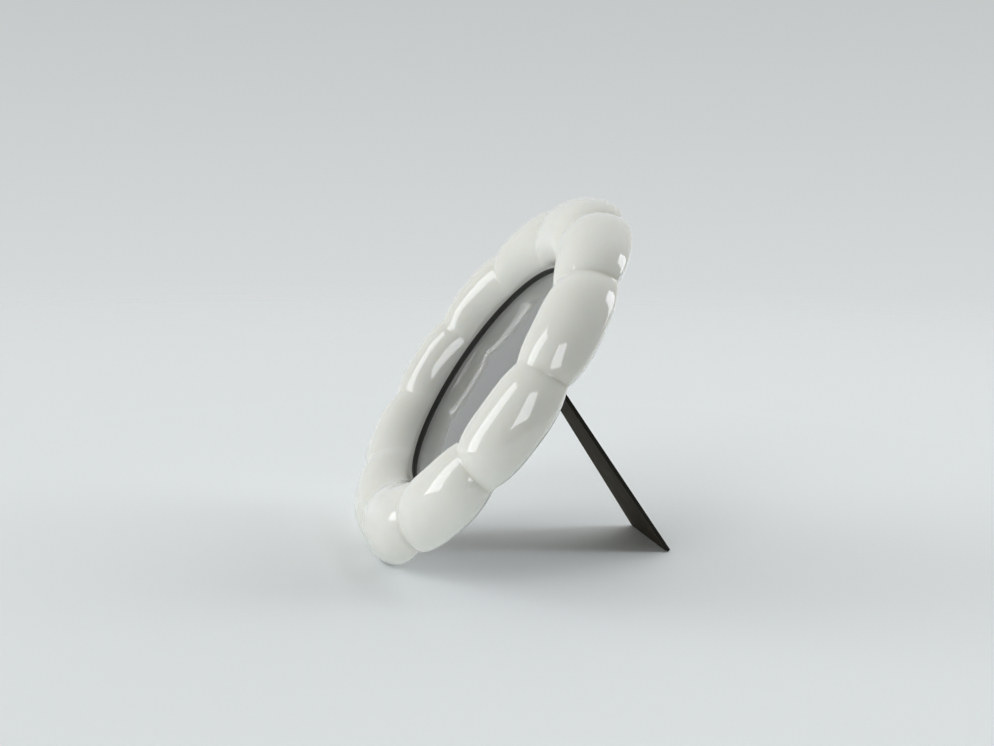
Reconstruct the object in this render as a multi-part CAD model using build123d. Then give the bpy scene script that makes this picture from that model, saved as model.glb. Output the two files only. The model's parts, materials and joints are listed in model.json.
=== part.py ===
from build123d import *
import math
import os

# A round photo frame: a puffy ring of pillow-shaped lobes, glazed and backed, on a hinged easel leg.
# Frame coordinates, before the frame is leaned back: x across, y up the frame, z out of the front.
# The flat back of the ring lies at z = 0. Sizes are in millimetres, angles in degrees.

# Puffy ring
LOBE_COUNT = 11
OPENING_DIAMETER = 100.0
CREST_OFFSET = 14.4
LIP_TRIM = 0.5
LOBE_OUT = 17.3
CREASE_OUT = 14.7
LOBE_RISE = 16.6
CREASE_RISE = 14.6
LOBE_UNDER = 6.0
LOBE_FULLNESS = 3.2
CREASE_TUCK_HANDLE = 0.12
BACK_LAND = 2.3
LOBE_STATIONS = (-1.0, -0.93, -0.75, -0.4, 0.0, 0.4, 0.75, 0.93, 1.0)
SHOULDER_ABOVE_WIDEST = 2.9
REBATE_WIDTH = 7.2
FOOT_FLAT_DEPTH = 0.3

# Stack in the rebate, front to back
GASKET_THICKNESS = 1.2
GLASS_THICKNESS = 2.0
INSERT_THICKNESS = 0.3
FILLER_THICKNESS = 0.8
BOARD_THICKNESS = 2.0
REBATE_CLEARANCE = 0.4

# Stance
LEAN_ANGLE = 34.1
LEG_OPENING = 68.1
HINGE_RISE = 16.3

# Hinge
SHEET_THICKNESS = 0.8
PIN_RADIUS = 0.9
PIN_HEAD_OVERHANG = 0.6
PIN_HEAD_LENGTH = 0.5
EAR_WALL = 1.4
EAR_SWING_CLEARANCE = 0.3
EAR_SIDE_GAP = 0.1
BRACKET_WIDTH = 22.0
BRACKET_CORNER = 2.0
BRACKET_RIVET_SPACING = 12.0
BRACKET_RIVET_RISE = 9.0
BRACKET_RIVET_MARGIN = 6.0
HEEL_CLEARANCE = 0.02
STRAP_PIN_GAP = 0.3
STRAP_TIP_WIDTH = 9.0
STRAP_TIP_FLAT = 2.0
STRAP_TIP_MARGIN = 5.0
STRAP_TAPER_START = 4.0

# Leg
LEG_THICKNESS = 1.5
LEG_TOP_CLEARANCE = 0.9
LEG_TOP_WIDTH = 22.0
LEG_FOOT_WIDTH = 42.0
LEG_TOP_CORNER = 3.0
LEG_FOOT_CORNER = 1.2
LEG_RIVET_COUNT = 2
LEG_RIVET_FIRST = 9.0
LEG_RIVET_PITCH = 8.0

# Rivets
RIVET_RADIUS = 1.2
RIVET_HEAD_OVERHANG = 1.0
RIVET_HEAD_HEIGHT = 0.8
RIVET_TAIL_OVERHANG = 0.8
RIVET_TAIL_HEIGHT = 0.5
RIVET_SINK_CLEARANCE = 0.2

# Turn buttons, each on the middle of a lobe counted from the top one
BUTTON_LOBES = (1, 4, -4, -1)
BUTTON_THICKNESS = 1.0
BUTTON_WIDTH = 9.0
BUTTON_INSET = 9.3
BUTTON_OVERLAP = 3.3
SCREW_RADIUS = 1.25
SCREW_HEAD_OVERHANG = 1.35
SCREW_HEAD_HEIGHT = 1.4
SCREW_DEPTH = 6.0
PLUG_WALL = 1.35
PLUG_END = 2.0
PLUG_END_GAP = 0.5

# Fits
RUNNING_FIT = 0.05
SEAT_FIT = 0.02

# Worked out from the sizes above
OPENING_RADIUS = OPENING_DIAMETER / 2
CREST_RADIUS = OPENING_RADIUS + CREST_OFFSET
INNER_RADIUS = OPENING_RADIUS - LIP_TRIM
RING_RADIUS = CREST_RADIUS + LOBE_OUT
REBATE_RADIUS = OPENING_RADIUS + REBATE_WIDTH
LAND_RADIUS = REBATE_RADIUS + BACK_LAND
DISC_RADIUS = REBATE_RADIUS - REBATE_CLEARANCE
BOARD_FRONT = BOARD_THICKNESS
FILLER_FRONT = BOARD_FRONT + FILLER_THICKNESS
INSERT_FRONT = FILLER_FRONT + INSERT_THICKNESS
GLASS_FRONT = INSERT_FRONT + GLASS_THICKNESS
SHOULDER_HEIGHT = GLASS_FRONT + GASKET_THICKNESS
WIDEST_HEIGHT = SHOULDER_HEIGHT - SHOULDER_ABOVE_WIDEST
RING_DEPTH = WIDEST_HEIGHT + LOBE_RISE
LOBE_PITCH = 360.0 / LOBE_COUNT
EAR_RADIUS = PIN_RADIUS + EAR_WALL
PIN_STANDOFF = SHEET_THICKNESS + EAR_RADIUS + EAR_SWING_CLEARANCE
STRAP_WIDTH = BRACKET_WIDTH - 2 * (SHEET_THICKNESS + EAR_SIDE_GAP)
STRAP_LENGTH = LEG_RIVET_FIRST + (LEG_RIVET_COUNT - 1) * LEG_RIVET_PITCH + STRAP_TIP_MARGIN
HEEL_LENGTH = 2 * PIN_STANDOFF
LEG_OUTER_FACE = -PIN_RADIUS - STRAP_PIN_GAP
STRAP_OUTER_FACE = LEG_OUTER_FACE - SHEET_THICKNESS
LEG_TOP_GAP = EAR_RADIUS + LEG_TOP_CLEARANCE
BUTTON_RADIUS = REBATE_RADIUS + BUTTON_INSET
BUTTON_REACH = BUTTON_INSET + REBATE_CLEARANCE + BUTTON_OVERLAP
PLUG_RADIUS = SCREW_RADIUS + PLUG_WALL
PLUG_LENGTH = SCREW_DEPTH + PLUG_END
QUARTER_ARC_HANDLE = 4 / 3 * (math.sqrt(2) - 1)
FAR = 4 * RING_RADIUS


def disc(radius, bottom, top):
    """Cylinder on the z axis between two heights."""
    return Pos(0, 0, (bottom + top) / 2) * Cylinder(radius, top - bottom)


def below(height):
    """Everything under a level, as a block to cut away with."""
    return Pos(0, 0, height - FAR / 2) * Box(FAR, FAR, FAR)


def domed_head(radius, height):
    """Low domed head, flat side on z = 0 and crown towards -z."""
    crown_radius = (radius**2 + height**2) / (2 * height)
    ball = Pos(0, 0, crown_radius - height) * Sphere(crown_radius)
    return ball & disc(radius, -height, 0)


def quarter(start, corner, end, handle=QUARTER_ARC_HANDLE):
    """Quarter of an ellipse that bulges towards its corner; a shorter handle flattens it."""
    start, corner, end = Vector(*start), Vector(*corner), Vector(*end)
    leave = start + (corner - start) * handle
    arrive = end + (corner - end) * handle
    return Bezier(start, leave, arrive, end)


def ring_section(station):
    """Section across the ring; station runs from -1 to 1 between creases, 0 at a lobe's middle."""
    fullness = 1 - abs(station) ** LOBE_FULLNESS
    out = CREST_RADIUS + CREASE_OUT + fullness * (LOBE_OUT - CREASE_OUT)
    rise = CREASE_RISE + fullness * (LOBE_RISE - CREASE_RISE)
    tuck = CREASE_TUCK_HANDLE + fullness * (QUARTER_ARC_HANDLE - CREASE_TUCK_HANDLE)
    outline = [
        quarter((out, 0), (out, rise), (CREST_RADIUS, rise)),
        quarter((CREST_RADIUS, rise), (INNER_RADIUS, rise), (INNER_RADIUS, 0)),
        quarter((INNER_RADIUS, 0), (INNER_RADIUS, -LOBE_UNDER), (LAND_RADIUS, -LOBE_UNDER)),
        quarter((LAND_RADIUS, -LOBE_UNDER), (out, -LOBE_UNDER), (out, 0), tuck),
    ]
    angle = math.radians(station * LOBE_PITCH / 2)
    across = Plane(
        origin=(0, 0, WIDEST_HEIGHT),
        x_dir=(math.sin(angle), math.cos(angle), 0),
        z_dir=(math.cos(angle), -math.sin(angle), 0),
    )
    return across * make_face(outline)


def around(lobe):
    """Turn that takes the top lobe to another one, clockwise seen from the front."""
    return Rot(0, 0, -lobe * LOBE_PITCH)


def at_button(lobe):
    """Pivot of a turn button on the back of a lobe."""
    return around(lobe) * Pos(0, BUTTON_RADIUS, 0)


def puffy_ring():
    """Ring of lofted lobes with a ground back, a rebate for the glass and holes for the plugs."""
    lobe = loft([ring_section(station) for station in LOBE_STATIONS])
    ring = lobe + [around(k) * lobe for k in range(1, LOBE_COUNT)]
    ring -= below(0)
    ring -= disc(REBATE_RADIUS, -RING_DEPTH, SHOULDER_HEIGHT)
    ring -= disc(OPENING_RADIUS, 0, 2 * RING_DEPTH)
    plug_hole = disc(PLUG_RADIUS + SEAT_FIT, -PLUG_LENGTH, PLUG_LENGTH + PLUG_END_GAP)
    return ring - [at_button(k) * plug_hole for k in BUTTON_LOBES]


def glazing_gasket():
    """Thin ring between the shoulder of the rebate and the glass."""
    opening = disc(OPENING_RADIUS, GLASS_FRONT, SHOULDER_HEIGHT)
    return disc(DISC_RADIUS, GLASS_FRONT, SHOULDER_HEIGHT) - opening


def bracket_rivet_places():
    """Seats of the bracket's rivet heads."""
    side = BRACKET_RIVET_SPACING / 2
    rise = HINGE_RISE + BRACKET_RIVET_RISE
    return [Pos(x, rise, -SHEET_THICKNESS) for x in (-side, side)]


def leg_rivet_places():
    """Seats of the strap's rivet heads, with the leg folded and the pin on the x axis."""
    drops = [LEG_RIVET_FIRST + k * LEG_RIVET_PITCH for k in range(LEG_RIVET_COUNT)]
    return [Pos(0, -drop, STRAP_OUTER_FACE) for drop in drops]


def rivet(grip):
    """Rivet through a grip that starts at z = 0, with a clenched tail after it."""
    shank = disc(RIVET_RADIUS, 0, grip)
    tail = disc(RIVET_RADIUS + RIVET_TAIL_OVERHANG, grip, grip + RIVET_TAIL_HEIGHT)
    return domed_head(RIVET_RADIUS + RIVET_HEAD_OVERHANG, RIVET_HEAD_HEIGHT) + shank + tail


def rivet_hole(grip):
    """Hole that a rivet's shank fits in."""
    return disc(RIVET_RADIUS + SEAT_FIT, 0, grip)


def back_board():
    """Round board, with the tails of the rivets sunk in its front."""
    board = disc(DISC_RADIUS, 0, BOARD_FRONT)
    sink_radius = RIVET_RADIUS + RIVET_TAIL_OVERHANG + RIVET_SINK_CLEARANCE
    through = SHEET_THICKNESS + BOARD_THICKNESS
    sink = disc(sink_radius, through - RIVET_TAIL_HEIGHT, through)
    cuts = [rivet_hole(through), sink]
    return board - [place * cut for place in bracket_rivet_places() for cut in cuts]


def ear(axis_height, foot_height):
    """Outline of an ear round a pin at (0, axis_height), with its stem on a plate at foot_height."""
    stem = Rectangle(2 * EAR_RADIUS, abs(axis_height - foot_height))
    return Pos(0, (axis_height + foot_height) / 2) * stem + Pos(0, axis_height) * Circle(EAR_RADIUS)


def ear_pair(outline, outer_width):
    """Two sheet ears with their outer faces a given width apart."""
    left = Plane.YZ.offset(-outer_width / 2) * outline
    right = Plane.YZ.offset(outer_width / 2 - SHEET_THICKNESS) * outline
    return extrude(left, SHEET_THICKNESS) + extrude(right, SHEET_THICKNESS)


def hinge_bracket():
    """Sheet bracket on the back board, with two ears that hold the pin."""
    length = EAR_RADIUS + BRACKET_RIVET_RISE + BRACKET_RIVET_MARGIN
    outline = RectangleRounded(BRACKET_WIDTH, length, BRACKET_CORNER)
    bracket = extrude(Pos(0, length / 2 - EAR_RADIUS, -SHEET_THICKNESS) * outline, SHEET_THICKNESS)
    pin_hole = Pos(0, -PIN_STANDOFF) * Circle(PIN_RADIUS + SEAT_FIT)
    bracket += ear_pair(ear(-PIN_STANDOFF, 0) - pin_hole, BRACKET_WIDTH)
    holes = [place * rivet_hole(SHEET_THICKNESS) for place in bracket_rivet_places()]
    return Pos(0, HINGE_RISE, 0) * bracket - holes


def hinge_pin():
    """Pin along the x axis with a head outside each ear."""
    half = BRACKET_WIDTH / 2
    head = disc(PIN_RADIUS + PIN_HEAD_OVERHANG, half, half + PIN_HEAD_LENGTH)
    pin = disc(PIN_RADIUS, -half, half) + head + Rot(180, 0, 0) * head
    return Pos(0, HINGE_RISE, -PIN_STANDOFF) * Rot(0, 90, 0) * pin


def easel_leg(length):
    """Tapered board with a square foot, folded flat."""
    top_half = LEG_TOP_WIDTH / 2
    foot_half = LEG_FOOT_WIDTH / 2
    top_corners = [(-top_half, -LEG_TOP_GAP), (top_half, -LEG_TOP_GAP)]
    foot_corners = [(foot_half, -length), (-foot_half, -length)]
    outline = make_face(Polyline(*top_corners, *foot_corners, close=True))
    outline = fillet(outline.vertices().group_by(Axis.Y)[-1], LEG_TOP_CORNER)
    outline = fillet(outline.vertices().group_by(Axis.Y)[0], LEG_FOOT_CORNER)
    board = extrude(Pos(0, 0, LEG_OUTER_FACE) * outline, LEG_THICKNESS)
    return board - [place * rivet_hole(SHEET_THICKNESS + LEG_THICKNESS) for place in leg_rivet_places()]


def leg_strap():
    """Sheet strap on the outer face of the folded leg, with ears on the pin and a heel beyond it."""
    half = STRAP_WIDTH / 2
    tip_half = STRAP_TIP_WIDTH / 2
    right = [(half, HEEL_LENGTH), (half, -STRAP_TAPER_START), (tip_half, -STRAP_LENGTH)]
    left = [(-x, y) for x, y in reversed(right)]
    outline = make_face(Polyline(*right, *left, close=True))
    outline = fillet(outline.vertices().group_by(Axis.Y)[0], tip_half - STRAP_TIP_FLAT / 2)
    strap = extrude(Pos(0, 0, STRAP_OUTER_FACE) * outline, SHEET_THICKNESS)
    strap += ear_pair(ear(0, LEG_OUTER_FACE) - Circle(PIN_RADIUS + RUNNING_FIT), STRAP_WIDTH)
    return strap - [place * rivet_hole(SHEET_THICKNESS) for place in leg_rivet_places()]


def turn_button():
    """Rounded tab that turns on the z axis, its long end towards the middle of the frame."""
    run = BUTTON_REACH - BUTTON_WIDTH / 2
    outline = Pos(0, -run / 2) * Rot(0, 0, 90) * SlotCenterToCenter(run, BUTTON_WIDTH)
    outline -= Circle(SCREW_RADIUS + RUNNING_FIT)
    return extrude(Pos(0, 0, -BUTTON_THICKNESS) * outline, BUTTON_THICKNESS)


def button_screw():
    """Domed screw through a turn button into its plug."""
    head = domed_head(SCREW_RADIUS + SCREW_HEAD_OVERHANG, SCREW_HEAD_HEIGHT)
    return Pos(0, 0, -BUTTON_THICKNESS) * head + disc(SCREW_RADIUS, -BUTTON_THICKNESS, SCREW_DEPTH)


def screw_plug():
    """Blind plug flush with the back of the ring."""
    screw_hole = disc(SCREW_RADIUS + SEAT_FIT, 0, SCREW_DEPTH + PLUG_END / 2)
    return disc(PLUG_RADIUS, 0, PLUG_LENGTH) - screw_hole


def group(solids):
    """Separate solids kept together under one name."""
    return Compound(list(solids))


# The ring leans back and stands on the flats ground on its two lowest lobes.
ring = puffy_ring()
lean = Rot(90 - LEAN_ANGLE, 0, 0)
ring_height = -(lean * ring).bounding_box().min.Z - FOOT_FLAT_DEPTH
stand = Pos(0, 0, ring_height) * lean

# The leg swings open until the heel of its strap meets the bracket, and reaches the floor there.
# The front edge of its square foot is ground to a narrow flat.
swing = Pos(0, HINGE_RISE, -PIN_STANDOFF) * Rot(LEG_OPENING, 0, 0)
pin_height = (stand * Pos(0, HINGE_RISE, -PIN_STANDOFF)).position.Z
leg_tilt = math.radians(LEG_OPENING - LEAN_ANGLE)
front_face_drop = (LEG_OUTER_FACE + LEG_THICKNESS) * math.sin(leg_tilt)
leg_length = (pin_height - front_face_drop + FOOT_FLAT_DEPTH) / math.cos(leg_tilt)
heel_limit = Rot(180, 0, 0) * below(SHEET_THICKNESS + HEEL_CLEARANCE)

board_rivet = rivet(SHEET_THICKNESS + BOARD_THICKNESS - RIVET_TAIL_HEIGHT)
leg_rivet = rivet(SHEET_THICKNESS + LEG_THICKNESS)

pieces = {
    "puffy_ring": stand * ring - below(0),
    "glazing_gasket": stand * glazing_gasket(),
    "glass_pane": stand * disc(DISC_RADIUS, INSERT_FRONT, GLASS_FRONT),
    "photo_insert": stand * disc(DISC_RADIUS, FILLER_FRONT, INSERT_FRONT),
    "filler_card": stand * disc(DISC_RADIUS, BOARD_FRONT, FILLER_FRONT),
    "back_board": stand * back_board(),
    "hinge_bracket": stand * hinge_bracket(),
    "hinge_pin": stand * hinge_pin(),
    "bracket_rivets": group(stand * place * board_rivet for place in bracket_rivet_places()),
    "easel_leg": stand * swing * easel_leg(leg_length) - below(0),
    "leg_strap": stand * (swing * leg_strap() - heel_limit),
    "leg_rivets": group(stand * swing * place * leg_rivet for place in leg_rivet_places()),
    "turn_button_screws": group(stand * at_button(k) * button_screw() for k in BUTTON_LOBES),
    "screw_plugs": group(stand * at_button(k) * screw_plug() for k in BUTTON_LOBES),
}
for number, lobe in enumerate(BUTTON_LOBES, 1):
    pieces[f"turn_button_{number}"] = stand * at_button(lobe) * turn_button()

# The origin is on the floor, under the middle of the whole object.
middle = group(pieces.values()).bounding_box().center().Y
to_origin = Pos(0, -middle, 0)

os.makedirs("parts", exist_ok=True)
for name, piece in pieces.items():
    export_step(to_origin * piece, f"parts/{name}.step")

pin = to_origin * stand * Pos(0, HINGE_RISE, -PIN_STANDOFF)
print("hinge pin at", pin.position)
for number, lobe in enumerate(BUTTON_LOBES, 1):
    print("turn button", number, "turns at", (to_origin * stand * at_button(lobe)).position)
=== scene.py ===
import json
import math

import bpy
import numpy as np
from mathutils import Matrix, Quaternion, Vector


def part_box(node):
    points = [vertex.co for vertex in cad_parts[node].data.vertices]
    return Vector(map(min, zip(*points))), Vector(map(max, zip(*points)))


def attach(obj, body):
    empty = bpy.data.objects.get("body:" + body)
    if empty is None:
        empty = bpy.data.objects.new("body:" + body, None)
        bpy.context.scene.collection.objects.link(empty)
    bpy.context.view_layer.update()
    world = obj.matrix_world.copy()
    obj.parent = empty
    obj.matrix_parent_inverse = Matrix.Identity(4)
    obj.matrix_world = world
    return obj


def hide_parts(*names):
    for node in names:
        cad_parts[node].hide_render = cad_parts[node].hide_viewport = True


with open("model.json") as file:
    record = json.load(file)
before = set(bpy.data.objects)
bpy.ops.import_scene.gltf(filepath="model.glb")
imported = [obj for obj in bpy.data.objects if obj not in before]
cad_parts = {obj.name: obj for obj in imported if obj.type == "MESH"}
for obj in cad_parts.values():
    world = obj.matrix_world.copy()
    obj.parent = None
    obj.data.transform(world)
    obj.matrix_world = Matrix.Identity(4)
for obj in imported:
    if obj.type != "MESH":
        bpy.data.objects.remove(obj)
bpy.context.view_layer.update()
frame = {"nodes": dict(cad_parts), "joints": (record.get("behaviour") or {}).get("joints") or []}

# Finish, light and view of a round photo frame: a puffy ring of pillow-shaped lobes on an easel leg.
# Sizes of pieces are in millimetres in the ring's own frame, x across, y up, z out of the front,
# with the flat back at z = 0. Sizes of the studio are in metres in the row frame. Angles are in degrees.
MM = 0.001

# Puffy ring
LOBE_COUNT = 11
OPENING_RADIUS = 50.0
INNER_RADIUS = 49.5
CREST_RADIUS = 64.4
LOBE_OUT = 17.3
CREASE_OUT = 14.7
LOBE_RISE = 16.6
CREASE_RISE = 14.6
LOBE_UNDER = 6.0
LOBE_FULLNESS = 3.2
ARC_HANDLE = 4 / 3 * (math.sqrt(2) - 1)
CREASE_TUCK_HANDLE = 0.12
LAND_RADIUS = 59.5
REBATE_RADIUS = 57.2
SHOULDER_HEIGHT = 6.3
WIDEST_HEIGHT = 3.4
BACK_CLEARANCE = 0.02

# Creases of the ring; widths are shares of half a lobe
CREASE_ROUND = 0.02
CREST_ROUND = 0.05
PINCH_DEPTH = 0.15
PINCH_WIDTH = 0.035

# Fineness of the ring's mesh
LOBE_HALF_STEPS = 26
CREASE_CROWDING = 1.7
CURVE_STEPS = 160
INNER_STEPS = 30
OUTER_STEPS = 30
UNDER_STEPS = 14

# Glass
GLASS_RADIUS = 56.8
GLASS_BACK = 3.12
GLASS_FRONT = 5.1
GLASS_CHAMFER = 0.25
GLASS_TURNS = 160

# Screws of the turn buttons; each stops further round than the one before it
BUTTON_COUNT = 4
SCREW_SHANK_RADIUS = 1.25
SCREW_SHANK_TOP = 6.0
SCREW_SEAT = -1.0
SCREW_HEAD_RADIUS = 2.6
SCREW_HEAD_HEIGHT = 1.4
SCREW_HEAD_STEPS = 26
SCREW_TURNS = 72
SCREW_STOP_STEP = 23
SEAT_TOLERANCE = 0.01
RECESS_ARM_LENGTH = 1.5
RECESS_ARM_HALF_WIDTH = 0.38
RECESS_DEPTH = 0.9
RECESS_SIDE_SLOPE = 0.12
RECESS_END_SLOPE = 0.36

# Boards and sheet pieces
BOARD_THICKNESS = 2.0
LEG_STANDING_ANGLE = 34.0
BOARD_EDGE_ROUND = 0.3
SHEET_EDGE_ROUND = 0.15
EDGE_SEGMENTS = 2
ROUNDED_EDGE_ANGLE = 40
SMOOTH_EDGE_ANGLE = 38

# View; the picture is 994 pixels wide
PICTURE_WIDTH = 994
FOCAL_PIXELS = 1364.13
SENSOR_WIDTH = 36.0
VIEW_AZIMUTH = 76.064
VIEW_ELEVATION = 8.416
VIEW_ROLL = 0.884
VIEW_DISTANCE = 0.52869
VIEW_TARGET = Vector((0.0, -0.00625, 0.069175))
VIEW_NEAREST = 0.01

# Softboxes light and shade; low and high are the elevations of their edges
SOFTBOXES = {
    "front_softbox": dict(bearing=-21.5, half_width=19.0, low=0.0, high=40.0, reach=3.0, radiance=1.6),
    "side_softbox": dict(bearing=46.0, half_width=10.0, low=22.0, high=58.0, reach=3.0, radiance=3.0),
    "back_softbox": dict(bearing=168.0, half_width=14.0, low=14.0, high=52.0, reach=3.0, radiance=2.6),
    "far_softbox": dict(bearing=222.0, half_width=36.0, low=0.0, high=55.0, reach=3.0, radiance=0.55),
    "key": dict(bearing=166.0, half_width=6.0, low=54.0, high=66.0, reach=2.5, radiance=7.2),
}
# Panes stand before the softboxes and show in glossy surfaces
PANES = {
    "front_pane": dict(bearing=-16.0, half_width=12.5, low=0.0, high=46.0, reach=2.6, radiance=2.25),
    "camera_pane": dict(bearing=55.5, half_width=11.5, low=10.0, high=44.0, reach=2.6, radiance=3.0),
    "back_pane": dict(bearing=168.0, half_width=14.0, low=14.0, high=52.0, reach=2.6, radiance=3.6),
}
# Lamps are a little cool and the fill a little warm
LAMP_COLOUR = (0.985, 1.0, 1.05)

# Fill light, less bright overhead, and the room that shows as reflections; both are dark on the
# camera's side. The dark comes in between two cosines of the angle from its bearing.
FILL_STRENGTH = 1.12
FILL_COLOUR = (1.0, 1.0, 0.94)
OVERHEAD_COLOUR = (0.43, 0.43, 0.404)
REFLECTED_STRENGTH = 1.2
DARK_BEARING = 108.0
DARK_FROM = -0.2
DARK_FULL = 0.75
DARK_FILL = (0.01, 0.01, 0.01)
DARK_REFLECTION = (0.02, 0.02, 0.02)

# Backdrop, which changes between two heights of the line of sight
BACKDROP_LOW = -0.19
BACKDROP_HIGH = 0.115
BACKDROP_LOW_COLOUR = (0.723, 0.752, 0.760)
BACKDROP_HIGH_COLOUR = (0.565, 0.584, 0.584)

# Floor
FLOOR_RADIUS = 1.6
FLOOR_FADE_START = 0.35
FLOOR_FADE_END = 1.3
FLOOR_TURNS = 96

# Colour sockets of Blender's Mix node, which has an A, a B and a Result for each kind of value
MIX_COLOUR_A = 6
MIX_COLOUR_B = 7
MIX_COLOUR_RESULT = 2


def direction(azimuth, elevation):
    """Unit vector from the object towards a bearing; azimuth 0 is the front, 90 is +X."""
    a, e = math.radians(azimuth), math.radians(elevation)
    return Vector((math.sin(a) * math.cos(e), -math.cos(a) * math.cos(e), math.sin(e)))


# The ring's own frame, from the turn buttons' axis and the back board
JOINTS = {joint["name"]: joint for joint in frame["joints"]}
RING_NORMAL = Vector(JOINTS["button_1_pivot"]["axis"]).normalized()
RING_ACROSS = Vector((1.0, 0.0, 0.0))
RING_UP = RING_NORMAL.cross(RING_ACROSS)
BOARD_LOW, BOARD_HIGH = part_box("back_board")
RING_CENTRE = (BOARD_LOW + BOARD_HIGH) / 2 - RING_NORMAL * (BOARD_THICKNESS / 2 * MM)
RING_AXES = np.array([RING_ACROSS, RING_UP, RING_NORMAL])


def in_row(points, origin=RING_CENTRE):
    """Points in the ring's directions, in millimetres from an origin, as row-frame metres."""
    return np.array(origin) + MM * np.asarray(points) @ RING_AXES


def add_node(tree, kind, inputs=None, **settings):
    """New shader node with its settings and unlinked inputs."""
    node = tree.nodes.new(kind)
    for name, value in settings.items():
        setattr(node, name, value)
    for name, value in (inputs or {}).items():
        node.inputs[name].default_value = value
    return node


def principled(name, sockets):
    """New material whose Principled shader has these socket values."""
    material = bpy.data.materials.new(name)
    material.use_nodes = True
    tree = material.node_tree
    shader = tree.nodes["Principled BSDF"]
    for socket, value in sockets.items():
        shader.inputs[socket].default_value = value
    return material, tree, shader


def noise(tree, scale, detail=3.0, roughness=0.5, stretch=None):
    """Noise over the object's own coordinates; a stretch scales and turns them first."""
    coordinates = add_node(tree, "ShaderNodeTexCoord").outputs["Object"]
    if stretch:
        mapping = add_node(tree, "ShaderNodeMapping", stretch)
        tree.links.new(coordinates, mapping.inputs["Vector"])
        coordinates = mapping.outputs["Vector"]
    texture = add_node(
        tree, "ShaderNodeTexNoise", {"Scale": scale, "Detail": detail, "Roughness": roughness}
    )
    tree.links.new(coordinates, texture.inputs["Vector"])
    return texture.outputs["Fac"]


def spread(tree, value, low, high, start=0.3, end=0.7):
    """Value between start and end, spread from low to high."""
    node = add_node(
        tree, "ShaderNodeMapRange", {"From Min": start, "From Max": end, "To Min": low, "To Max": high}
    )
    tree.links.new(value, node.inputs["Value"])
    return node.outputs["Result"]


def blend_colours(tree, factor, first, second):
    """Mix of two colours; each is a colour or another node's output."""
    node = add_node(tree, "ShaderNodeMix", data_type="RGBA")
    tree.links.new(factor, node.inputs["Factor"])
    for socket, colour in ((MIX_COLOUR_A, first), (MIX_COLOUR_B, second)):
        if isinstance(colour, bpy.types.NodeSocket):
            tree.links.new(colour, node.inputs[socket])
        else:
            node.inputs[socket].default_value = (*colour, 1.0)
    return node.outputs[MIX_COLOUR_RESULT]


def blend_shaders(tree, factor, first, second):
    """Mix of two shader nodes."""
    node = add_node(tree, "ShaderNodeMixShader")
    tree.links.new(factor, node.inputs["Fac"])
    tree.links.new(first.outputs[0], node.inputs[1])
    tree.links.new(second.outputs[0], node.inputs[2])
    return node


def paint(tree, shader, factor, first, second):
    """Base colour that goes from one colour to another."""
    tree.links.new(blend_colours(tree, factor, first, second), shader.inputs["Base Color"])


def roughen(tree, shader, value, low, high, start=0.3, end=0.7):
    """Roughness that goes from low to high."""
    tree.links.new(spread(tree, value, low, high, start, end), shader.inputs["Roughness"])


def bump(tree, shader, height, strength, depth, over=None):
    """Bump on a shader, with its depth in millimetres, over an earlier bump if there is one."""
    node = add_node(tree, "ShaderNodeBump", {"Strength": strength, "Distance": depth * MM})
    tree.links.new(height, node.inputs["Height"])
    if over:
        tree.links.new(over, node.inputs["Normal"])
    tree.links.new(node.outputs["Normal"], shader.inputs["Normal"])
    return node.outputs["Normal"]


def white_glaze():
    """Glossy white glaze over a pale body, with painted shade, a little darker and warmer, along the outer
    creases.
    """
    material, tree, shader = principled("white_glaze", {
        "IOR": 1.5,
        "Subsurface Weight": 0.7,
        "Subsurface Radius": (1.0, 0.95, 0.8),
        "Subsurface Scale": 0.004,
        "Coat Weight": 1.0,
        "Coat Roughness": 0.01,
        "Coat IOR": 1.5,
    })
    cloud = spread(tree, noise(tree, scale=22.0), low=0.0, high=1.0)
    body = blend_colours(tree, cloud, (0.80, 0.805, 0.745), (0.84, 0.845, 0.795))
    # Painted shade: the colour goes darker and warmer along the outer creases, following the crease mask.
    crease = add_node(tree, "ShaderNodeAttribute", attribute_name="crease").outputs["Fac"]
    paint(tree, shader, crease, body, (0.765, 0.765, 0.695))
    roughen(tree, shader, noise(tree, scale=140.0, detail=4.0), low=0.0, high=0.02)
    wave = bump(tree, shader, noise(tree, scale=45.0, detail=0.0), strength=0.2, depth=0.1)
    grain = noise(tree, scale=700.0, detail=2.0)
    normal = bump(tree, shader, grain, strength=0.03, depth=0.02, over=wave)
    tree.links.new(normal, shader.inputs["Coat Normal"])
    return material


def bare_body():
    """Unglazed, ground body at the back of the ring."""
    material, tree, shader = principled("bare_body", {"IOR": 1.45})
    grain = noise(tree, scale=900.0, detail=5.0, roughness=0.6)
    stain = spread(tree, noise(tree, scale=30.0, detail=4.0), low=0.0, high=1.0)
    paint(tree, shader, stain, (0.70, 0.69, 0.64), (0.78, 0.77, 0.73))
    roughen(tree, shader, grain, low=0.6, high=0.85)
    bump(tree, shader, grain, strength=0.4, depth=0.06)
    return material


def black_rubber():
    """Matt black gasket; its near-black is partly painted shade, standing for the shaded gap under the
    ring's lip.
    """
    material, tree, shader = principled("black_rubber", {"IOR": 1.5})
    grain = noise(tree, scale=1200.0, detail=4.0)
    # Partly painted shade: near-black where the gap under the ring's lip lies in shade.
    paint(tree, shader, grain, (0.032, 0.032, 0.028), (0.062, 0.061, 0.053))
    roughen(tree, shader, grain, low=0.5, high=0.75)
    bump(tree, shader, grain, strength=0.3, depth=0.04)
    return material


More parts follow.
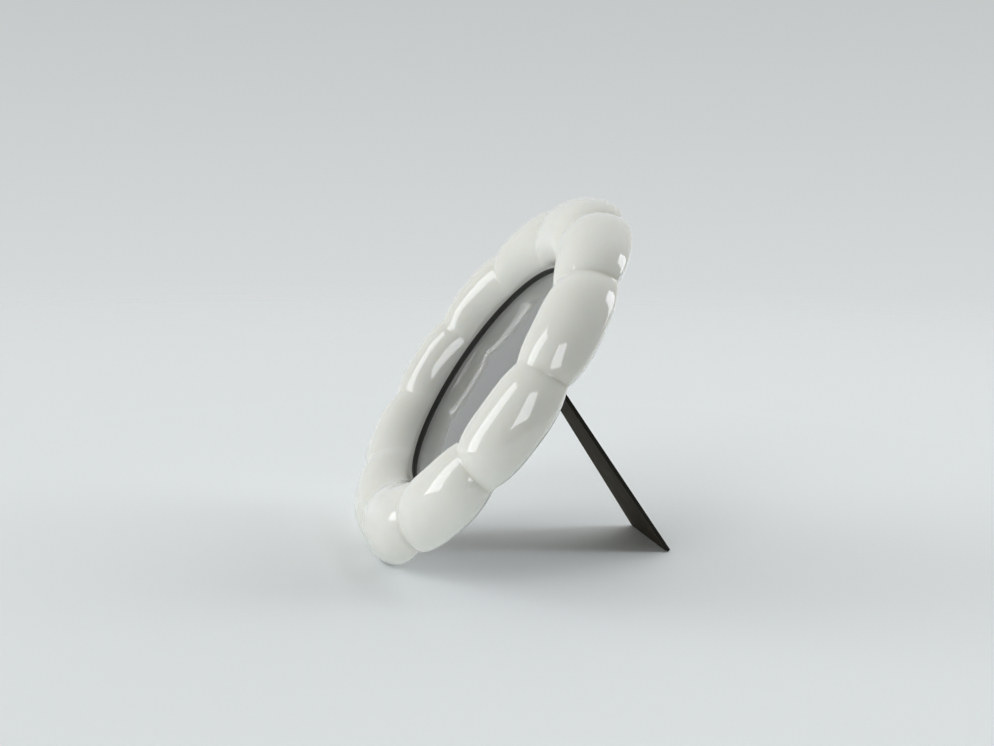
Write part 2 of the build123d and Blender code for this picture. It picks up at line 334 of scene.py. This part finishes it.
def smeared_glass(tree, shader):
    """Faint smears on a glass shader, which lets light straight through to the sheet behind it."""
    smear = noise(tree, scale=35.0, detail=5.0, roughness=0.65)
    roughen(tree, shader, smear, low=0.0, high=0.012, start=0.45, end=0.75)
    clear = add_node(tree, "ShaderNodeBsdfTransparent", {"Color": (0.95, 0.96, 0.955, 1.0)})
    shadow_ray = add_node(tree, "ShaderNodeLightPath").outputs["Is Shadow Ray"]
    mix = blend_shaders(tree, shadow_ray, shader, clear)
    tree.links.new(mix.outputs["Shader"], tree.nodes["Material Output"].inputs["Surface"])


def clear_glass():
    """Polished front and edge of the pane."""
    material, tree, shader = principled("clear_glass", {
        "Base Color": (0.95, 0.97, 0.96, 1.0),
        "IOR": 1.5,
        "Transmission Weight": 1.0,
        "Coat Weight": 1.0,
        "Coat Roughness": 0.0,
        "Coat IOR": 1.5,
    })
    smeared_glass(tree, shader)
    return material


def glass_on_sheet():
    """Back of the pane, in touch with the sheet, so that it mirrors nothing."""
    material = bpy.data.materials.new("glass_on_sheet")
    material.use_nodes = True
    tree = material.node_tree
    tree.nodes.remove(tree.nodes["Principled BSDF"])
    bend = add_node(tree, "ShaderNodeBsdfRefraction", {"Color": (0.95, 0.97, 0.96, 1.0), "IOR": 1.5})
    smeared_glass(tree, bend)
    return material


def grey_paper():
    """Plain grey satin sheet with a faint fibre."""
    material, tree, shader = principled("grey_paper", {"IOR": 1.45, "Specular IOR Level": 0.1})
    fibre = noise(tree, scale=260.0, detail=6.0, roughness=0.7)
    paint(tree, shader, fibre, (0.035, 0.037, 0.033), (0.05, 0.052, 0.048))
    roughen(tree, shader, fibre, low=0.45, high=0.6)
    bump(tree, shader, fibre, strength=0.15, depth=0.03)
    return material


def grey_card():
    """Uncoated card with flecks."""
    material, tree, shader = principled("grey_card", {"IOR": 1.45})
    fleck = noise(tree, scale=500.0, detail=6.0, roughness=0.75)
    paint(tree, shader, fleck, (0.33, 0.30, 0.25), (0.50, 0.47, 0.41))
    roughen(tree, shader, fleck, low=0.75, high=0.95)
    bump(tree, shader, fleck, strength=0.3, depth=0.05)
    return material


def dark_board(name, stretch):
    """Dark stained board with a pressed fibre that runs along it, paler scuffs and black cut edges."""
    material, tree, shader = principled(name, {"IOR": 1.45, "Specular IOR Level": 0.06})
    fibre = noise(tree, scale=120.0, detail=6.0, roughness=0.6, stretch=stretch)
    patches = noise(tree, scale=60.0, detail=6.0, roughness=0.7)
    scuff = spread(tree, patches, low=0.0, high=1.0, start=0.56, end=0.75)
    stain = blend_colours(tree, fibre, (0.045, 0.040, 0.030), (0.085, 0.076, 0.058))
    worn = blend_colours(tree, scuff, stain, (0.11, 0.10, 0.08))
    facing = add_node(tree, "ShaderNodeSeparateXYZ")
    tree.links.new(add_node(tree, "ShaderNodeNewGeometry").outputs["True Normal"], facing.inputs["Vector"])
    sideways = add_node(tree, "ShaderNodeMath", operation="ABSOLUTE")
    tree.links.new(facing.outputs["X"], sideways.inputs[0])
    edge = spread(tree, sideways.outputs["Value"], low=0.0, high=1.0, start=0.6, end=0.8)
    paint(tree, shader, edge, worn, (0.030, 0.028, 0.023))
    roughen(tree, shader, fibre, low=0.68, high=0.88)
    pressed = bump(tree, shader, fibre, strength=0.35, depth=0.06)
    bump(tree, shader, noise(tree, scale=1500.0), strength=0.2, depth=0.03, over=pressed)
    return material


def plated_steel():
    """Zinc-plated sheet with a fine brushing and dull spots."""
    material, tree, shader = principled("plated_steel", {"Metallic": 1.0})
    brush = noise(tree, scale=900.0, stretch={"Scale": (0.08, 1.0, 1.0)})
    spot = noise(tree, scale=220.0, detail=5.0, roughness=0.65)
    paint(tree, shader, spot, (0.38, 0.385, 0.39), (0.55, 0.555, 0.56))
    roughen(tree, shader, spot, low=0.35, high=0.54)
    brushed = bump(tree, shader, brush, strength=0.12, depth=0.02)
    bump(tree, shader, spot, strength=0.08, depth=0.03, over=brushed)
    return material


def plain_plastic():
    """Pale moulded plastic."""
    material, tree, shader = principled("plain_plastic", {"IOR": 1.46})
    mottle = noise(tree, scale=400.0, detail=4.0)
    paint(tree, shader, mottle, (0.60, 0.58, 0.53), (0.70, 0.69, 0.65))
    roughen(tree, shader, mottle, low=0.4, high=0.55)
    bump(tree, shader, mottle, strength=0.15, depth=0.03)
    return material


def mesh_piece(name, points, faces, materials, body, slot, *nodes):
    """Smooth mesh in the row frame that rides on a body and stands for CAD nodes."""
    mesh = bpy.data.meshes.new(name)
    mesh.from_pydata([tuple(point) for point in points], [], [tuple(face) for face in faces])
    for material in materials:
        mesh.materials.append(material)
    mesh.polygons.foreach_set("use_smooth", [True] * len(mesh.polygons))
    mesh.set_sharp_from_angle(angle=math.radians(SMOOTH_EDGE_ANGLE))
    piece = bpy.data.objects.new(name, mesh)
    bpy.context.scene.collection.objects.link(piece)
    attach(piece, body)
    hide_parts(*nodes)
    return piece


def quarter(start, corner, end, handle=ARC_HANDLE):
    """Quarter of an ellipse that bulges towards its corner, as (radius, height) rows."""
    start, corner, end = np.array(start), np.array(corner), np.array(end)
    leave = start + (corner - start) * handle
    arrive = end + (corner - end) * handle
    t = np.linspace(0.0, 1.0, CURVE_STEPS)[:, None]
    return (1 - t) ** 3 * start + 3 * (1 - t) ** 2 * t * leave + 3 * (1 - t) * t**2 * arrive + t**3 * end


def keep_above(curve, column, limit):
    """The stretch of a curve where one of its columns is over a limit, ending exactly on it."""
    inside = np.flatnonzero(curve[:, column] > limit)
    first, last = inside[0], inside[-1]
    rows = [curve[first:last + 1]]
    if first > 0:
        share = (limit - curve[first - 1, column]) / (curve[first, column] - curve[first - 1, column])
        rows.insert(0, curve[first - 1:first] + share * (curve[first:first + 1] - curve[first - 1:first]))
    if last < len(curve) - 1:
        share = (limit - curve[last, column]) / (curve[last + 1, column] - curve[last, column])
        rows.append(curve[last:last + 1] + share * (curve[last + 1:last + 2] - curve[last:last + 1]))
    return np.vstack(rows)


def even(curve, count):
    """The same curve with evenly spaced points."""
    run = np.concatenate([[0.0], np.cumsum(np.linalg.norm(np.diff(curve, axis=0), axis=1))])
    wanted = np.linspace(0.0, run[-1], count)
    return np.stack([np.interp(wanted, run, curve[:, k]) for k in range(curve.shape[1])], axis=1)


def lobe_fullness(gap, rounding):
    """Share of a lobe's full swell at a way from the crease, with the crease rounded out."""
    soft_gap = (math.hypot(gap, rounding) - rounding) / (math.hypot(1.0, rounding) - rounding)
    return 1 - (1 - soft_gap) ** LOBE_FULLNESS


def ring_outline(gap):
    """Closed outline across the ring, and how many of its points are glazed.

    The gap is the way from the crease: 0 on it and 1 in mid-lobe.
    """
    fullness = lobe_fullness(gap, CREASE_ROUND)
    pinch = PINCH_DEPTH * math.exp(-((gap / PINCH_WIDTH) ** 2))
    out = CREST_RADIUS + CREASE_OUT + fullness * (LOBE_OUT - CREASE_OUT) - pinch
    rise = CREASE_RISE + lobe_fullness(gap, CREST_ROUND) * (LOBE_RISE - CREASE_RISE)
    tuck = CREASE_TUCK_HANDLE + fullness * (ARC_HANDLE - CREASE_TUCK_HANDLE)
    inner = quarter((INNER_RADIUS, 0.0), (INNER_RADIUS, rise), (CREST_RADIUS, rise))
    outer = quarter((CREST_RADIUS, rise), (out, rise), (out, 0.0))
    under = quarter((out, 0.0), (out, -LOBE_UNDER), (LAND_RADIUS, -LOBE_UNDER), tuck)
    glazed = np.vstack([
        even(keep_above(inner, 0, OPENING_RADIUS), INNER_STEPS),
        even(outer, OUTER_STEPS)[1:],
        even(keep_above(under, 1, BACK_CLEARANCE - WIDEST_HEIGHT), UNDER_STEPS)[1:],
    ])
    glazed[:, 1] += WIDEST_HEIGHT
    bare = [
        (REBATE_RADIUS, BACK_CLEARANCE),
        (REBATE_RADIUS, SHOULDER_HEIGHT),
        (OPENING_RADIUS, SHOULDER_HEIGHT),
    ]
    return np.vstack([glazed, bare]), len(glazed)


def puffy_ring(glaze, bare):
    """Ring of pillow-shaped lobes, with a rebate and a ground back a hair off the turn buttons."""
    gaps = np.linspace(0.0, 1.0, LOBE_HALF_STEPS + 1) ** CREASE_CROWDING
    outlines = [ring_outline(gap) for gap in gaps]
    order = [(-1, k) for k in range(LOBE_HALF_STEPS)] + [(1, k) for k in range(LOBE_HALF_STEPS, 0, -1)]
    points, crease = [], []
    for lobe in range(LOBE_COUNT):
        for side, k in order:
            angle = (lobe + side * (1 - gaps[k]) / 2) * 2 * math.pi / LOBE_COUNT
            outline, glazed = outlines[k]
            radius, height = outline[:, 0], outline[:, 1]
            points.append(np.stack([radius * math.sin(angle), radius * math.cos(angle), height], axis=1))
            # Mask of the painted crease shade: full on the outer side of each crease, none from the crest
            # inwards.
            outer_share = np.clip((radius - CREST_RADIUS) / CREASE_OUT, 0.0, 1.0)
            crease.append(outer_share * math.exp(-((gaps[k] / (2 * PINCH_WIDTH)) ** 2)))
    points = np.array(points)
    columns, rows = points.shape[:2]
    index = np.arange(columns * rows).reshape(columns, rows)
    beside, above = np.roll(index, -1, axis=0), np.roll(index, -1, axis=1)
    beyond = np.roll(beside, -1, axis=1)
    faces = np.stack([index, above, beyond, beside], axis=-1).reshape(-1, 4)
    standing = in_row(points.reshape(-1, 3))
    standing[:, 2] = np.maximum(standing[:, 2], 0.0)
    finishes = [glaze, bare]
    piece = mesh_piece("puffy_ring_skin", standing, faces, finishes, "frame", "white_glaze", "puffy_ring")
    unglazed = np.arange(rows) >= glazed - 1
    piece.data.polygons.foreach_set("material_index", np.tile(unglazed.astype(int), columns))
    shade = piece.data.attributes.new("crease", "FLOAT", "POINT")
    shade.data.foreach_set("value", np.array(crease).ravel())


def lathe(profile, steps):
    """Points and faces of a profile of (radius, height) rows turned about z, closed at both poles."""
    profile = np.asarray(profile, float)
    angles = np.arange(steps) * 2 * math.pi / steps
    inner = profile[1:-1]
    points = [(0.0, 0.0, profile[0, 1])]
    for radius, height in inner:
        points += [(radius * math.cos(a), radius * math.sin(a), height) for a in angles]
    points.append((0.0, 0.0, profile[-1, 1]))
    last = len(points) - 1
    faces = []
    for k in range(steps):
        n = (k + 1) % steps
        faces.append((0, 1 + n, 1 + k))
        for row in range(len(inner) - 1):
            base, top = 1 + row * steps, 1 + (row + 1) * steps
            faces.append((base + k, base + n, top + n, top + k))
        base = 1 + (len(inner) - 1) * steps
        faces.append((base + k, base + n, last))
    return np.array(points), faces


def glass_pane(polished, backed):
    """Pane with ground edges, a hair clear of the sheet behind it."""
    profile = [
        (0.0, GLASS_BACK),
        (GLASS_RADIUS - GLASS_CHAMFER, GLASS_BACK),
        (GLASS_RADIUS, GLASS_BACK + GLASS_CHAMFER),
        (GLASS_RADIUS, GLASS_FRONT - GLASS_CHAMFER),
        (GLASS_RADIUS - GLASS_CHAMFER, GLASS_FRONT),
        (0.0, GLASS_FRONT),
    ]
    points, faces = lathe(profile, GLASS_TURNS)
    finishes = [polished, backed]
    piece = mesh_piece(
        "glass_pane_polished", in_row(points), faces, finishes, "frame", "clear_glass", "glass_pane"
    )
    # The first face of each turn lies on the sheet.
    on_sheet = np.arange(len(faces)) % (len(faces) // GLASS_TURNS) == 0
    piece.data.polygons.foreach_set("material_index", on_sheet.astype(int))


def recess_depth(x, y):
    """Depth of a cross recess at a point of a screw's head."""
    def arm(along, across):
        end = np.clip((RECESS_ARM_LENGTH - np.abs(along)) / RECESS_END_SLOPE, 0, 1)
        side = np.clip((RECESS_ARM_HALF_WIDTH - np.abs(across)) / RECESS_SIDE_SLOPE, 0, 1)
        return end * side
    return RECESS_DEPTH * np.maximum(arm(x, y), arm(y, x))


def button_screws(material):
    """Domed screws with a cross recess, one on each turn button's pivot."""
    crown = (SCREW_HEAD_RADIUS**2 + SCREW_HEAD_HEIGHT**2) / (2 * SCREW_HEAD_HEIGHT)
    radii = np.linspace(0.0, SCREW_HEAD_RADIUS, SCREW_HEAD_STEPS)
    dome = [(r, SCREW_SEAT - (math.sqrt(crown**2 - r**2) - (crown - SCREW_HEAD_HEIGHT))) for r in radii]
    shank = [
        (SCREW_SHANK_RADIUS, SCREW_SEAT),
        (SCREW_SHANK_RADIUS, SCREW_SHANK_TOP),
        (0.0, SCREW_SHANK_TOP),
    ]
    points, faces = lathe(dome + shank, SCREW_TURNS)
    head = points[:, 2] < SCREW_SEAT - SEAT_TOLERANCE
    points[head, 2] += recess_depth(points[head, 0], points[head, 1])
    all_points, all_faces = [], []
    for number in range(1, BUTTON_COUNT + 1):
        turn = math.radians(SCREW_STOP_STEP * number)
        c, s = math.cos(turn), math.sin(turn)
        turned = points @ np.array([[c, s, 0], [-s, c, 0], [0, 0, 1]])
        start = sum(len(rows) for rows in all_points)
        all_points.append(in_row(turned, JOINTS[f"button_{number}_pivot"]["pos_m"]))
        all_faces += [tuple(start + v for v in face) for face in faces]
    mesh_piece(
        "cross_recess_screws", np.vstack(all_points), all_faces, [material], "frame", "plated_steel",
        "turn_button_screws",
    )


def dress(node, material, edge=None):
    """Gives a CAD node its finish and, for a flat piece, slightly rounded edges."""
    piece = frame["nodes"][node]
    piece.data.materials.clear()
    piece.data.materials.append(material)
    if edge:
        rounding = piece.modifiers.new("soft_edges", "BEVEL")
        rounding.width = edge * MM
        rounding.segments = EDGE_SEGMENTS
        rounding.limit_method = "ANGLE"
        rounding.angle_limit = math.radians(ROUNDED_EDGE_ANGLE)


def studio_world():
    """Fill light and reflections, both dim on the dark side, and the pale backdrop that the view sees."""
    world = bpy.data.worlds.new("studio")
    bpy.context.scene.world = world
    world.use_nodes = True
    tree = world.node_tree
    facing = add_node(tree, "ShaderNodeTexCoord").outputs["Generated"]
    level = add_node(tree, "ShaderNodeSeparateXYZ")
    tree.links.new(facing, level.inputs["Vector"])
    rise = spread(tree, level.outputs["Z"], low=0.0, high=1.0, start=BACKDROP_LOW, end=BACKDROP_HIGH)
    sweep = blend_colours(tree, rise, BACKDROP_LOW_COLOUR, BACKDROP_HIGH_COLOUR)
    aside = add_node(tree, "ShaderNodeVectorMath", operation="DOT_PRODUCT")
    aside.inputs[1].default_value = direction(DARK_BEARING, 0.0)
    tree.links.new(facing, aside.inputs[0])
    dark = spread(tree, aside.outputs["Value"], low=0.0, high=1.0, start=DARK_FROM, end=DARK_FULL)
    overhead = spread(tree, level.outputs["Z"], low=0.0, high=1.0, start=0.0, end=1.0)
    room = blend_colours(tree, overhead, FILL_COLOUR, OVERHEAD_COLOUR)
    fill = add_node(tree, "ShaderNodeBackground", {"Strength": FILL_STRENGTH})
    tree.links.new(blend_colours(tree, dark, room, DARK_FILL), fill.inputs["Color"])
    reflected = add_node(tree, "ShaderNodeBackground", {"Strength": REFLECTED_STRENGTH})
    tree.links.new(blend_colours(tree, dark, sweep, DARK_REFLECTION), reflected.inputs["Color"])
    backdrop = add_node(tree, "ShaderNodeBackground", {"Strength": 1.0})
    tree.links.new(sweep, backdrop.inputs["Color"])
    rays = add_node(tree, "ShaderNodeLightPath").outputs
    shader = blend_shaders(tree, rays["Is Glossy Ray"], fill, reflected)
    shader = blend_shaders(tree, rays["Is Transmission Ray"], shader, backdrop)
    shader = blend_shaders(tree, rays["Is Camera Ray"], shader, backdrop)
    tree.links.new(shader.outputs["Shader"], tree.nodes["World Output"].inputs["Surface"])


def lamp_pane(name, shown, bearing, half_width, low, high, reach, radiance):
    """Upright rectangular lamp that faces the object; it lights it or shows in it as a reflection."""
    bottom, top = reach * math.tan(math.radians(low)), reach * math.tan(math.radians(high))
    lamp = bpy.data.lights.new(name, "AREA")
    lamp.shape = "RECTANGLE"
    lamp.size = 2 * reach * math.tan(math.radians(half_width))
    lamp.size_y = top - bottom
    lamp.color = LAMP_COLOUR
    lamp.energy = radiance * math.pi * lamp.size * lamp.size_y
    lamp_object = bpy.data.objects.new(name, lamp)
    bpy.context.scene.collection.objects.link(lamp_object)
    flat = direction(bearing, 0.0)
    lamp_object.location = VIEW_TARGET + reach * flat + Vector((0, 0, (bottom + top) / 2))
    lamp_object.rotation_euler = (-flat).to_track_quat("-Z", "Y").to_euler()
    lamp_object.visible_camera = False
    lamp_object.visible_glossy = shown
    lamp_object.visible_diffuse = not shown


def floor():
    """Pale sweep that fades into the backdrop far from the object."""
    material, tree, shader = principled("pale_sweep", {"IOR": 1.3})
    tooth = noise(tree, scale=300.0, detail=4.0)
    paint(tree, shader, tooth, (0.825, 0.86, 0.876), (0.84, 0.875, 0.891))
    roughen(tree, shader, tooth, low=0.65, high=0.8)
    distance = add_node(tree, "ShaderNodeVectorMath", operation="LENGTH")
    tree.links.new(add_node(tree, "ShaderNodeTexCoord").outputs["Object"], distance.inputs[0])
    away = distance.outputs["Value"]
    fade = spread(tree, away, low=0.0, high=1.0, start=FLOOR_FADE_START, end=FLOOR_FADE_END)
    gone = add_node(tree, "ShaderNodeBsdfTransparent")
    mix = blend_shaders(tree, fade, shader, gone)
    tree.links.new(mix.outputs["Shader"], tree.nodes["Material Output"].inputs["Surface"])
    angles = [2 * math.pi * k / FLOOR_TURNS for k in range(FLOOR_TURNS)]
    rim = [(FLOOR_RADIUS * math.cos(a), FLOOR_RADIUS * math.sin(a), 0.0) for a in angles]
    mesh = bpy.data.meshes.new("floor")
    mesh.from_pydata(rim, [], [range(FLOOR_TURNS)])
    mesh.materials.append(material)
    piece = bpy.data.objects.new("floor", mesh)
    bpy.context.scene.collection.objects.link(piece)


def camera():
    """View from low on the right, nearly along the plane of the glass."""
    data = bpy.data.cameras.new("view")
    data.sensor_fit = "HORIZONTAL"
    data.sensor_width = SENSOR_WIDTH
    data.lens = FOCAL_PIXELS * SENSOR_WIDTH / PICTURE_WIDTH
    data.clip_start = VIEW_NEAREST
    view = bpy.data.objects.new("view", data)
    bpy.context.scene.collection.objects.link(view)
    back = direction(VIEW_AZIMUTH, VIEW_ELEVATION)
    view.location = VIEW_TARGET + VIEW_DISTANCE * back
    roll = Quaternion((0.0, 0.0, 1.0), math.radians(VIEW_ROLL))
    view.rotation_euler = ((-back).to_track_quat("-Z", "Y") @ roll).to_euler()
    bpy.context.scene.camera = view


# The boards' fibre runs up them, and the leg's follows the angle at which it stands.
upright_fibre = {"Scale": (1.0, 1.0, 0.12)}
leg_fibre = {"Scale": (1.0, 1.0, 0.08), "Rotation": (-math.radians(LEG_STANDING_ANGLE), 0.0, 0.0)}
steel = plated_steel()
puffy_ring(white_glaze(), bare_body())
glass_pane(clear_glass(), glass_on_sheet())
button_screws(steel)
dress("glazing_gasket", black_rubber())
dress("photo_insert", grey_paper())
dress("filler_card", grey_card())
dress("back_board", dark_board("dark_back_board", upright_fibre), BOARD_EDGE_ROUND)
dress("easel_leg", dark_board("dark_leg", leg_fibre), BOARD_EDGE_ROUND)
dress("screw_plugs", plain_plastic())
turn_buttons = [f"turn_button_{number}" for number in range(1, BUTTON_COUNT + 1)]
for sheet_piece in ("hinge_bracket", "leg_strap", *turn_buttons):
    dress(sheet_piece, steel, SHEET_EDGE_ROUND)
for small_piece in ("hinge_pin", "bracket_rivets", "leg_rivets"):
    dress(small_piece, steel)

floor()
studio_world()
for lamp_name, lamp_values in SOFTBOXES.items():
    lamp_pane(lamp_name, shown=False, **lamp_values)
for lamp_name, lamp_values in PANES.items():
    lamp_pane(lamp_name, shown=True, **lamp_values)
camera()
bpy.context.scene.view_settings.view_transform = "Standard"
